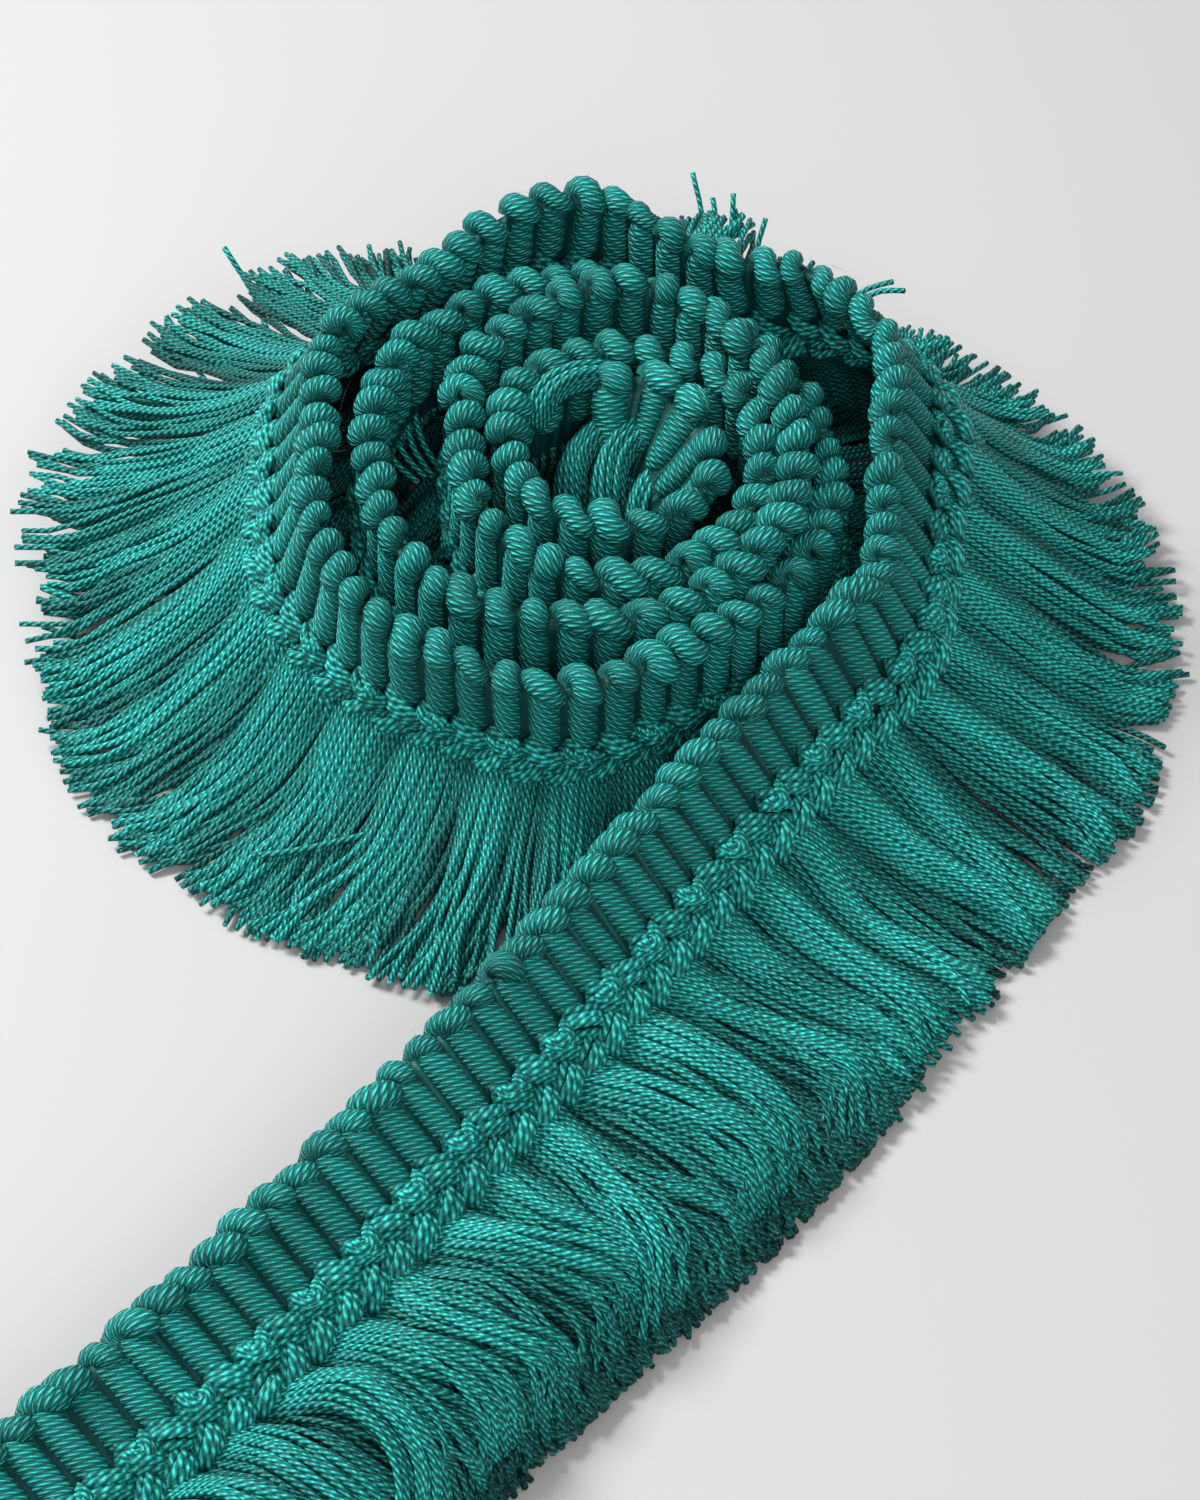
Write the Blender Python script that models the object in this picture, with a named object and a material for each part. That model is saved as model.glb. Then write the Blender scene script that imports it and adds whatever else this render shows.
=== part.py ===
"""Fringe trim: a gimp heading with a long yarn fringe, loosely wound on its edge.

The trim stands in a spiral roll with its scalloped edge up and its fringe spread on
the floor as a skirt. Its outer end leaves the roll on the right and lies across the
floor towards the front left. The origin is on the floor at the middle of the whole
footprint, +Z is up and the front is -Y. Every size in the tables is in millimetres,
and places in them are measured from a point near the middle of the roll.
"""

import math
from collections import namedtuple

import bmesh
import bpy
from mathutils import Vector

MM = 0.001
COLLECTION = "fringe_trim"

# Driving sizes of the trim
HEADING_WIDTH = 17.0
RIB_PITCH = 4.35
SCALLOP_HEIGHT = 0.9
FOOTING_GAP = 0.3
FOOTING_DEPTH = 1.5
FOOTING_HALF = 1.0
LOCK_THICKNESS = 2.0
LOCK_WIDTH = 4.4
LOCK_FILL = 0.86
RIBS_TO_A_KNOT = 2

# Where a lock bends, as a share of its reach. One that stands has a single bend, given
# with its share of the root's height and of the usual thickness. One that lies sags
# first, tilting away from the heading's face, and is then level to its end.
STANDING_BEND = 0.35
STANDING_HEIGHT = 0.5
STANDING_DEPTH = 0.9
SAG_BEND = 0.36
SAG_TILT = 2.0
LEVEL_FROM = 0.80

# The roll's centre and the middle of the footprint, from the tables' own zero point,
# and how finely the route is read
ROLL_CENTRE = Vector((1.0, -4.0, 0.0))
FOOTPRINT_MIDDLE = Vector((-0.52, -52.8, 0.0))
ROUTE_STEP = 0.5
TAIL_STARTS = 1724.0

# One row for each bend of the wound part. The turn runs clockwise as seen from above,
# with 0 at the front, 90 at the left, 180 at the back and 270 at the right. A lean of 90
# stands the heading upright, and a smaller one sets its fringe side outwards. The reach
# is how far the fringe runs outwards, the tip is the height that its ends lie at, and
# the sag is how far it has dropped a third of the way out.
Turn = namedtuple("Turn", "turn radius height lean reach tip sag")
TURNS = (
    Turn(165, 11.5, 37.0, 108, 1, 0, 9),
    Turn(205, 13.2, 37.5, 110, 1, 0, 9),
    Turn(250, 12.8, 36.0, 110, 1, 0, 9),
    Turn(300, 13.8, 34.0, 104, 2, 0, 9),
    Turn(345, 12.5, 33.5, 95, 3, 0, 9),
    Turn(400, 11.9, 34.0, 88, 3, 0, 9),
    Turn(450, 12.2, 35.0, 85, 3, 0, 9),
    Turn(495, 15.6, 37.0, 88, 3, 0, 9),
    Turn(540, 16.4, 38.0, 90, 3, 0, 9),
    Turn(590, 17.3, 37.3, 90, 3, 0, 9),
    Turn(640, 18.0, 35.0, 90, 4, 0, 9),
    Turn(685, 19.6, 33.0, 90, 4, 0, 9),
    Turn(725, 20.2, 32.0, 90, 5, 0, 9),
    Turn(770, 18.4, 33.2, 88, 6, 0, 9),
    Turn(812, 17.4, 35.5, 86, 6, 0, 9),
    Turn(855, 22.6, 38.0, 88, 6, 0, 10),
    Turn(900, 27.6, 40.0, 90, 6, 0, 10),
    Turn(930, 24.4, 39.3, 90, 6, 0, 10),
    Turn(965, 21.6, 37.5, 90, 6, 0, 10),
    Turn(1005, 22.0, 35.0, 90, 7, 0, 9),
    Turn(1045, 23.8, 32.5, 90, 8, 0, 9),
    Turn(1080, 26.6, 31.2, 90, 9, 0, 9),
    Turn(1125, 29.3, 32.0, 90, 10, 0, 9),
    Turn(1165, 28.5, 34.8, 88, 10, 0, 9),
    Turn(1205, 30.2, 37.5, 86, 10, 0, 10),
    Turn(1250, 32.6, 37.3, 88, 10, 0, 10),
    Turn(1285, 28.6, 36.0, 90, 10, 0, 9),
    Turn(1320, 26.0, 34.0, 90, 11, 0, 8),
    Turn(1355, 25.8, 31.6, 90, 12, 0, 8),
    Turn(1395, 27.0, 30.0, 90, 17, 0, 7),
    Turn(1428, 31.4, 29.8, 94, 24, 0, 6),
    Turn(1448, 37.0, 29.2, 97, 28, 0, 6),
    Turn(1470, 37.0, 30.0, 96, 29, 0, 6),
    Turn(1490, 37.2, 31.0, 86, 28, 0, 6),
    Turn(1512, 35.6, 33.2, 68, 27, 0, 7),
    Turn(1533, 33.6, 35.6, 58, 28, 2, 7),
    Turn(1558, 37.0, 38.3, 58, 30, 8, 5),
    Turn(1585, 36.2, 40.0, 64, 31, 11, 4),
    Turn(1599, 39.4, 41.5, 74, 29, 9, 5),
    Turn(1611, 42.6, 42.5, 84, 26, 9, 6),
    Turn(1622, 41.0, 42.0, 86, 27, 15, 3),
    Turn(1633, 35.6, 41.0, 82, 28, 20, 1),
    Turn(1645, 34.2, 40.3, 76, 27, 9, 5),
    Turn(1660, 36.6, 40.0, 66, 27, 6, 7),
    Turn(1683, 35.4, 38.0, 56, 26, 3, 8),
    Turn(1706, 31.2, 34.2, 58, 28, 0, 7),
    Turn(1722, 31.0, 29.8, 56, 26, 0, 6),
)

# One row for each stretch of the loose end: where its scalloped edge lies, which way
# its fringe points, as a turn, and how deep the brushed-out fringe is at its ends.
Run = namedtuple("Run", "x y height turn lean reach tip sag brush")
TAIL = (
    Run(30.4, -17.6, 28.6, 1734, 56, 25, 0, 5, 2.2),
    Run(26.4, -24.6, 28.0, 1740, 56, 24, 0, 5, 2.4),
    Run(21.0, -30.4, 26.6, 1743, 52, 24, 0, 5, 2.6),
    Run(10.7, -44.4, 24.6, 1743, 48, 25, 0, 4, 3.2),
    Run(3.6, -54.6, 23.4, 1744, 45, 25, 0, 3, 3.8),
    Run(-12.4, -77.7, 21.2, 1745, 40, 24, 0, 1, 5.2),
    Run(-26.0, -96.3, 19.7, 1746, 36, 22, 0, -1, 6.8),
    Run(-40.0, -115.9, 18.8, 1747, 33, 20, 0, -3, 8.4),
    Run(-54.2, -134.4, 19.0, 1748, 31, 20, 0, -4, 9.4),
    Run(-68.2, -151.4, 19.0, 1749, 30, 20, 0, -4, 9.6),
)

# The heading's cross-section from its fringe side to just under the scallop. The
# columns are the place across it and half its thickness on a rib, in a groove and on
# the outer side of a knot.
Across = namedtuple("Across", "place rib groove knot")
PROFILE = (
    Across(0.00, 0.90, 0.80, 0.95),
    Across(0.20, 0.95, 0.75, 1.60),
    Across(0.92, 1.25, 0.65, 1.25),
)

# One row for each stretch of the fringe's backing and how far apart its locks are
Zone = namedtuple("Zone", "upto pitch")
LOCK_ZONES = (
    Zone(800, 4.6),
    Zone(1230, 4.2),
    Zone(1400, 3.6),
    Zone(TAIL_STARTS, 3.3),
    Zone(math.inf, 3.1),
)

# Colour and roughness of each piece
Finish = namedtuple("Finish", "red green blue roughness")
FINISHES = {
    "heading": Finish(0.020, 0.230, 0.195, 0.55),
    "fringe_roll": Finish(0.024, 0.260, 0.215, 0.50),
    "fringe_tail": Finish(0.024, 0.250, 0.210, 0.50),
}

UP = Vector((0.0, 0.0, 1.0))

Station = namedtuple("Station", "edge turn lean reach tip sag brush")


def facing(turn):
    """Return the level unit vector that points outwards at a turn."""
    angle = math.radians(turn)
    return Vector((-math.sin(angle), -math.cos(angle), 0.0))


def stations():
    """Return the bends of the whole trim, from its inner end to its loose end."""
    rows = []
    for row in TURNS:
        edge = ROLL_CENTRE + facing(row.turn) * row.radius + UP * row.height
        rows.append(Station(edge, row.turn, row.lean, row.reach, row.tip, row.sag, LOCK_THICKNESS))
    for row in TAIL:
        edge = Vector((row.x, row.y, row.height))
        rows.append(Station(edge, row.turn, row.lean, row.reach, row.tip, row.sag, row.brush))
    return rows


def hermite(start, end, slope_start, slope_end, share):
    """Return the value of a cubic between two values with the given end slopes."""
    square = share * share
    cube = square * share
    return (
        start * (2 * cube - 3 * square + 1)
        + slope_start * (cube - 2 * square + share)
        + end * (3 * square - 2 * cube)
        + slope_end * (cube - square)
    )


def smooth_route(rows):
    """Return closely spaced stations on a smooth curve through the given ones."""
    reach_along = [0.0]
    for before, after in zip(rows, rows[1:]):
        reach_along.append(reach_along[-1] + (after.edge - before.edge).length)
    last = len(rows) - 1

    def slope(index, column):
        low, high = max(index - 1, 0), min(index + 1, last)
        rise = rows[high][column] - rows[low][column]
        return rise / (reach_along[high] - reach_along[low])

    route = []
    for index in range(last):
        span = reach_along[index + 1] - reach_along[index]
        steps = max(2, round(span / ROUTE_STEP))
        for step in range(steps):
            share = step / steps
            route.append(Station(*(
                hermite(
                    rows[index][column],
                    rows[index + 1][column],
                    slope(index, column) * span,
                    slope(index + 1, column) * span,
                    share,
                )
                for column in range(len(Station._fields))
            )))
    route.append(rows[-1])
    return route


class Band:
    """The trim at one station: where its edge, its fringe side and its faces lie."""

    def __init__(self, station):
        lean = math.radians(station.lean)
        self.station = station
        self.outward = facing(station.turn)
        self.rise = UP * math.sin(lean) - self.outward * math.cos(lean)
        self.face = self.outward * math.sin(lean) + UP * math.cos(lean)
        self.root = station.edge - self.rise * HEADING_WIDTH

    def point(self, across, relief):
        """Return a point of the heading, measured from its fringe side."""
        return self.root + self.rise * across + self.face * relief

    def side(self):
        """Return the level unit vector along the trim, towards its loose end."""
        return UP.cross(self.outward) * -1.0


def blend(first, second, share):
    """Return the station that lies between two others."""
    return Station(*(a + (b - a) * share for a, b in zip(first, second)))


def evenly_spaced(route, pitch_of, measure):
    """Return stations one pitch apart along the line that measure finds on each."""
    picked = [route[0]]
    walked = 0.0
    for before, after in zip(route, route[1:]):
        span = measure(before, after)
        while span > 0.0 and walked + span >= pitch_of(before):
            share = (pitch_of(before) - walked) / span
            before = blend(before, after, share)
            picked.append(before)
            span = measure(before, after)
            walked = 0.0
        walked += span
    return picked


def middle_length(before, after):
    """Return the distance between two stations along the middle of the heading."""
    half = HEADING_WIDTH / 2
    return (Band(after).point(half, 0.0) - Band(before).point(half, 0.0)).length


def root_progress(before, after):
    """Return how far the fringe side moves along the trim between two stations."""
    first = Band(before)
    return max(0.0, (Band(after).root - first.root).dot(first.side()))


def lock_pitch(station):
    """Return the distance between two locks at a station."""
    return next(zone.pitch for zone in LOCK_ZONES if station.turn < zone.upto)


def add_ring(bm, points):
    """Add one vertex for each point, given in millimetres, and return them."""
    return [bm.verts.new((point - FOOTPRINT_MIDDLE) * MM) for point in points]


def skin(bm, first, second, skipped=()):
    """Join two rings of vertices with faces, apart from the skipped sides."""
    count = len(first)
    for index in range(count):
        if index not in skipped:
            after = (index + 1) % count
            bm.faces.new((first[index], first[after], second[after], second[index]))


def heading_ring(band, on_rib, on_knot):
    """Return the points around the heading's cross-section at one station."""
    column = "rib" if on_rib else "groove"
    outer_column = "knot" if on_knot else column
    outer = [band.point(HEADING_WIDTH * row.place, getattr(row, outer_column)) for row in PROFILE]
    inner = [band.point(HEADING_WIDTH * row.place, -getattr(row, column)) for row in PROFILE]
    top = HEADING_WIDTH if on_rib else HEADING_WIDTH - SCALLOP_HEIGHT
    return [*outer, band.point(top, 0.0), *reversed(inner)]


def build_heading(route):
    """Build the ribbed heading as one solid along the whole route."""
    bm = bmesh.new()
    half_pitch = RIB_PITCH / 2
    picked = evenly_spaced(route, lambda _: half_pitch, middle_length)
    rings = []
    for index, station in enumerate(picked):
        on_rib = index % 2 == 1
        on_knot = on_rib and (index // 2) % RIBS_TO_A_KNOT == 0
        rings.append(add_ring(bm, heading_ring(Band(station), on_rib, on_knot)))
    for before, after in zip(rings, rings[1:]):
        skin(bm, before, after)
    bm.faces.new(rings[0])
    bm.faces.new(list(reversed(rings[-1])))
    return finish(bm, "heading")


def footing_ring(band):
    """Return the four corners of the fringe's backing at one station."""
    top = -FOOTING_GAP
    bottom = top - FOOTING_DEPTH
    return [
        band.point(bottom, FOOTING_HALF),
        band.point(top, FOOTING_HALF),
        band.point(top, -FOOTING_HALF),
        band.point(bottom, -FOOTING_HALF),
    ]


def lock_stops(band):
    """Return the stops of a lock: how far out it is, how high, its depth and its tilt.

    Each stop is the run outwards, the height of the lock's middle, its depth and the
    unit vector across that depth, which points away from the floor.
    """
    row = band.station
    start = band.point(-FOOTING_GAP - FOOTING_DEPTH, 0.0)
    if row.reach < start.z / 2:
        depth = LOCK_THICKNESS * STANDING_DEPTH
        middle = (row.reach * STANDING_BEND, start.z * STANDING_HEIGHT, depth, band.outward)
        return start, (middle, (row.reach, 0.0, depth, band.outward))
    sag_depth = (LOCK_THICKNESS + row.brush) / 2
    sag_height = start.z - row.sag - sag_depth / 2
    sag_tilt = (band.face + UP * SAG_TILT).normalized()
    lying = max(row.tip, 0.0) + row.brush / 2
    return start, (
        (row.reach * SAG_BEND, sag_height, sag_depth, sag_tilt),
        (row.reach * LEVEL_FROM, lying, row.brush, UP),
        (row.reach, lying, row.brush, UP),
    )


def lock_rings(band, before, after):
    """Return the four corners of a lock at each of its stops."""
    start, stops = lock_stops(band)
    rings = []
    for run, height, depth, tilt in stops:
        left = before.root + before.outward * run
        right = after.root + after.outward * run
        spread = abs((right - left).dot(band.side()))
        half_width = min(spread * LOCK_FILL, LOCK_WIDTH) / 2
        middle = Vector((start.x, start.y, height)) + band.outward * run
        across = band.side() * half_width
        deep = tilt * (depth / 2)
        rings.append([
            middle - across + deep,
            middle + across + deep,
            middle + across - deep,
            middle - across - deep,
        ])
    return rings


def build_fringe(route, name):
    """Build one stretch of fringe: a narrow backing with a lock in each pitch."""
    bm = bmesh.new()
    picked = evenly_spaced(route, lock_pitch, root_progress)
    outer_foot, inner_foot = 0, 3
    bottom_side = 3
    rings = []
    locks = []
    for before, after in zip(picked, picked[1:]):
        margin = (1.0 - LOCK_FILL) / 2
        first = blend(before, after, margin)
        second = blend(before, after, 1.0 - margin)
        near = add_ring(bm, footing_ring(Band(first)))
        far = add_ring(bm, footing_ring(Band(second)))
        skin(bm, near, far, skipped=(bottom_side,))
        base = [near[outer_foot], far[outer_foot], far[inner_foot], near[inner_foot]]
        middle = Band(blend(before, after, 0.5))
        locks.append((base, lock_rings(middle, Band(first), Band(second))))
        rings.append((near, far))
    for (_, far), (near, _) in zip(rings, rings[1:]):
        skin(bm, far, near)
    bm.faces.new(rings[0][0])
    bm.faces.new(list(reversed(rings[-1][1])))
    for base, corners in locks:
        ring = base
        for points in corners:
            following = add_ring(bm, points)
            skin(bm, ring, following)
            ring = following
        bm.faces.new(ring)
    return finish(bm, name)


def yarn_material(name):
    """Make the dyed yarn's material for one piece."""
    look = FINISHES[name]
    material = bpy.data.materials.new(f"{name}_yarn")
    material.use_nodes = True
    shader = material.node_tree.nodes["Principled BSDF"]
    shader.inputs["Base Color"].default_value = (look.red, look.green, look.blue, 1.0)
    shader.inputs["Roughness"].default_value = look.roughness
    shader.inputs["Metallic"].default_value = 0.0
    return material


def finish(bm, name):
    """Turn a built shape into a named object with its material."""
    bmesh.ops.recalc_face_normals(bm, faces=bm.faces)
    mesh = bpy.data.meshes.new(name)
    bm.to_mesh(mesh)
    bm.free()
    mesh.materials.append(yarn_material(name))
    part = bpy.data.objects.new(name, mesh)
    bpy.data.collections[COLLECTION].objects.link(part)
    return part


def main():
    """Build the trim in an empty scene."""
    for old in list(bpy.data.objects):
        bpy.data.objects.remove(old, do_unlink=True)
    collection = bpy.data.collections.new(COLLECTION)
    bpy.context.scene.collection.children.link(collection)

    route = smooth_route(stations())
    build_heading(route)
    parting = next(index for index, row in enumerate(route) if row.turn >= TAIL_STARTS)
    build_fringe(route[:parting], "fringe_roll")
    build_fringe(route[parting:], "fringe_tail")


main()
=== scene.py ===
"""The dressed fringe trim: a gimp heading wound in a loose roll with its long yarn fringe.

The heading stands in a spiral with its scalloped edge up. Its fringe spreads over the floor
as a skirt, and the loose end lies across the floor towards the front left. Every size is in
millimetres, measured from the tables' own zero point, until a mesh is made in metres.
"""

import logging  # noqa: E402
import math  # noqa: E402
from dataclasses import dataclass, field, replace  # noqa: E402
from enum import Enum  # noqa: E402
from functools import cache  # noqa: E402
from typing import NamedTuple  # noqa: E402

import bpy  # noqa: E402
import numpy as np  # noqa: E402
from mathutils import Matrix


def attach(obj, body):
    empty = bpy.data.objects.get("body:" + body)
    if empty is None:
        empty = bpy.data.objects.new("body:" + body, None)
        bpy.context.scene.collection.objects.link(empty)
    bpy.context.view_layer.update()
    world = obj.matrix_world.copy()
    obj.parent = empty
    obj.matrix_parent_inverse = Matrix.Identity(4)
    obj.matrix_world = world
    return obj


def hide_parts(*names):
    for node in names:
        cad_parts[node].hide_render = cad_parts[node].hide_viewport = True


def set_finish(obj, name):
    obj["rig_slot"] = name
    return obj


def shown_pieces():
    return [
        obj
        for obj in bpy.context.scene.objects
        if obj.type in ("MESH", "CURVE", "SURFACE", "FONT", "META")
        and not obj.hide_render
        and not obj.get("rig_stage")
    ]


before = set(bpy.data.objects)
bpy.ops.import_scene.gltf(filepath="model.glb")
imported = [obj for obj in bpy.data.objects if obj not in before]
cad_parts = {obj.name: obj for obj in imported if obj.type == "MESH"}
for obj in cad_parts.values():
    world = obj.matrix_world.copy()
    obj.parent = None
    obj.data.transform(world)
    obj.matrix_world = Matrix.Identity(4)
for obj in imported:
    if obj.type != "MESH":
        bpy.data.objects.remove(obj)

Array = np.ndarray
Chance = np.random.Generator
Point = tuple[float, float, float]
Colour = tuple[float, float, float]
LOG = logging.getLogger("fringe_trim")

MM = 0.001
FOOTPRINT_MIDDLE = np.array([-0.52, -52.8, 0.0])
ROLL_CENTRE = np.array([1.0, -4.0, 0.0])
UP = np.array([0.0, 0.0, 1.0])
HEADING_WIDTH = 17.0
RIB_PITCH = 4.35
ROUTE_STEP = 0.5
YARN_LAY = 3.3
RANDOM_SEED = 20

# Where parts of the trim start and end, in degrees of turn clockwise from the front.
SKIRT_STARTS = 1375.0
TAIL_STARTS = 1724.0
HUMP_STARTS = 1744.3
INNER_GAPS = (640.0, 1440.0)
OUTER_GAPS = (1495.0, 1718.0)
SEEN_INSIDE = ((345.0, 440.0), (1480.0, 1700.0))
# The skirt is darkest at its back left, with painted shade.
DUSKY_TURN = 1582.0
DUSKY_SPREAD = 26.0


class Turn(NamedTuple):
    """One bend of the wound part: its turn clockwise from the front, and how it lies."""

    turn: float
    radius: float
    height: float
    lean: float
    reach: float
    tip: float
    sag: float


class Run(NamedTuple):
    """One stretch of the loose end: where its edge lies and how its fringe falls."""

    x: float
    y: float
    height: float
    turn: float
    lean: float
    reach: float
    tip: float
    sag: float
    brush: float


WOUND_BRUSH = 2.0
TURNS: tuple[Turn, ...] = (
    Turn(165, 11.5, 37.0, 112, 1, 0, 9),
    Turn(205, 13.2, 37.5, 121, 1, 0, 9),
    Turn(250, 12.8, 36.0, 129, 1, 0, 9),
    Turn(300, 13.8, 34.0, 120, 2, 0, 9),
    Turn(345, 12.5, 33.5, 99, 3, 0, 9),
    Turn(400, 11.9, 34.0, 88, 3, 0, 9),
    Turn(450, 12.2, 35.0, 85, 3, 0, 9),
    Turn(495, 15.6, 37.0, 88, 3, 0, 9),
    Turn(540, 16.4, 38.0, 90, 3, 0, 9),
    Turn(590, 17.3, 37.3, 90, 3, 0, 9),
    Turn(640, 18.0, 35.0, 90, 4, 0, 9),
    Turn(685, 19.6, 33.0, 90, 4, 0, 9),
    Turn(725, 20.2, 32.0, 90, 5, 0, 9),
    Turn(770, 18.4, 33.2, 88, 6, 0, 9),
    Turn(812, 17.4, 35.5, 86, 6, 0, 9),
    Turn(855, 22.6, 38.0, 88, 6, 0, 10),
    Turn(900, 27.6, 40.0, 90, 6, 0, 10),
    Turn(930, 24.4, 39.3, 90, 6, 0, 10),
    Turn(965, 21.6, 37.5, 90, 6, 0, 10),
    Turn(1005, 22.0, 35.0, 90, 7, 0, 9),
    Turn(1045, 23.8, 32.5, 90, 8, 0, 9),
    Turn(1080, 26.6, 31.2, 90, 9, 0, 9),
    Turn(1125, 29.3, 32.0, 90, 10, 0, 9),
    Turn(1165, 28.5, 34.8, 88, 10, 0, 9),
    Turn(1205, 30.2, 37.5, 86, 10, 0, 10),
    Turn(1250, 32.6, 37.3, 88, 10, 0, 10),
    Turn(1285, 28.6, 36.0, 90, 10, 0, 9),
    Turn(1320, 26.0, 34.0, 90, 11, 0, 8),
    Turn(1355, 25.8, 31.6, 90, 12, 0, 8),
    Turn(1395, 27.0, 30.0, 90, 17, 0, 7),
    Turn(1428, 31.4, 29.8, 94, 24, 0, 6),
    Turn(1448, 37.0, 29.2, 97, 26.5, 0, 6),
    Turn(1470, 37.0, 30.0, 96, 26.5, 0, 6),
    Turn(1490, 37.2, 31.0, 86, 25.5, 0, 6),
    Turn(1512, 35.6, 33.2, 68, 25.5, 0, 7),
    Turn(1533, 33.6, 35.6, 58, 27, 3, 7),
    Turn(1558, 37.0, 38.3, 58, 31, 10, 5),
    Turn(1585, 36.2, 40.0, 64, 32, 14, 4),
    Turn(1599, 39.4, 41.5, 74, 30, 11, 5),
    Turn(1611, 42.6, 42.5, 84, 26, 9, 6),
    Turn(1622, 41.0, 42.0, 86, 27, 15, 3),
    Turn(1633, 35.6, 41.0, 82, 28, 20, 1),
    Turn(1645, 34.2, 40.3, 76, 27, 9, 5),
    Turn(1660, 36.6, 40.0, 66, 27, 6, 7),
    Turn(1683, 35.4, 38.0, 56, 26, 3, 8),
    Turn(1706, 31.2, 34.2, 58, 28, 0, 7),
    Turn(1722, 31.0, 29.8, 56, 26, 0, 6),
)
TAIL: tuple[Run, ...] = (
    Run(30.4, -17.6, 28.6, 1734, 56, 25, 0, 5, 2.2),
    Run(26.4, -24.6, 28.0, 1740, 56, 24, 0, 5, 2.4),
    Run(21.0, -30.4, 26.6, 1743, 52, 24, 0, 5, 2.6),
    Run(10.7, -44.4, 24.6, 1743, 48, 25, 0, 4, 3.2),
    Run(3.6, -54.6, 23.4, 1744, 45, 25, 0, 3, 3.8),
    Run(-12.4, -77.7, 21.2, 1745, 40, 24, 0, 1, 5.2),
    Run(-26.0, -96.3, 19.7, 1746, 36, 22, 0, -1, 6.8),
    Run(-40.0, -115.9, 18.8, 1747, 33, 20, 0, -3, 8.4),
    Run(-54.2, -134.4, 19.0, 1748, 31, 20, 0, -4, 9.4),
    Run(-68.2, -151.4, 19.0, 1749, 30, 20, 0, -4, 9.6),
)


class Fall(NamedTuple):
    """How the hidden fringe falls at one turn: its reach, its ends' height and its sag."""

    turn: float
    reach: float
    tip: float
    sag: float


# The fringe of the inner turns spreads out under the turns around it.
INNER_FALLS: tuple[Fall, ...] = (
    Fall(165, 2, 0, 9),
    Fall(345, 6, 0, 8),
    Fall(520, 8, 0, 6),
    Fall(700, 10, 2, 4),
    Fall(800, 13, 5, 2),
    Fall(900, 15, 6, 2),
    Fall(1000, 15, 4, 4),
    Fall(1045, 20, 0, 9),
    Fall(1100, 22, 0, 9),
    Fall(1150, 24, 2, 7),
    Fall(1190, 28, 6, 4),
    Fall(1240, 30, 8, 2),
    Fall(1300, 30, 8, 2),
    Fall(1345, 28, 4, 4),
    Fall(1375, 22, 0, 7),
)
# Below it a steep curtain of yarns shuts off the gaps between the turns.
CURTAIN_FALLS: tuple[Fall, ...] = (
    Fall(520, 7, 0, 5),
    Fall(900, 8, 0, 5),
    Fall(1200, 9, 0, 5),
    Fall(1440, 8, 0, 5),
    Fall(1520, 10, 0, 4),
    Fall(1620, 13, 0, 4),
    Fall(1720, 10, 0, 4),
)


# The folded inner end, the fat bunches in the roll's heart with their widths, the yarns in its
# left gap and the strays.
FOLDED_END = (
    (-9.0, 3.6, 31.0), (-7.0, 5.8, 34.0), (-4.0, 7.4, 35.2), (-0.6, 8.4, 35.0), (2.0, 8.8, 33.8)
)
HEART_BUNCHES = (
    (((3.0, 7.0, 30.0), (-0.4, 4.6, 29.6), (-3.4, 1.8, 27.6), (-4.2, -1.2, 23.5), (-3.6, -3.6, 16.0)), 3.6),
    (((7.0, 6.0, 29.0), (4.0, 4.2, 29.4), (1.2, 1.4, 28.0), (0.2, -2.0, 24.5), (0.6, -4.9, 16.0)), 4.2),
    (((9.0, 1.0, 26.5), (6.2, -0.2, 26.4), (4.2, -2.8, 24.4), (3.6, -5.4, 20.0), (3.8, -6.5, 14.0)), 3.4),
)
ARCHING_YARNS = (
    ((-25.4, 17.6, 26.5), (-25.6, 15.0, 23.5), (-24.6, 11.0, 21.5), (-21.8, 8.2, 19.5)),
    ((-24.4, 18.0, 27.0), (-24.4, 15.4, 24.2), (-23.4, 11.4, 22.0), (-20.8, 8.4, 19.5)),
    ((-23.4, 18.4, 27.0), (-23.2, 15.6, 24.4), (-22.2, 11.8, 22.2), (-19.8, 8.6, 19.5)),
    ((-26.4, 17.0, 25.5), (-26.8, 14.4, 22.5), (-25.8, 10.6, 20.5), (-22.8, 7.8, 19.0)),
)
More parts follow.
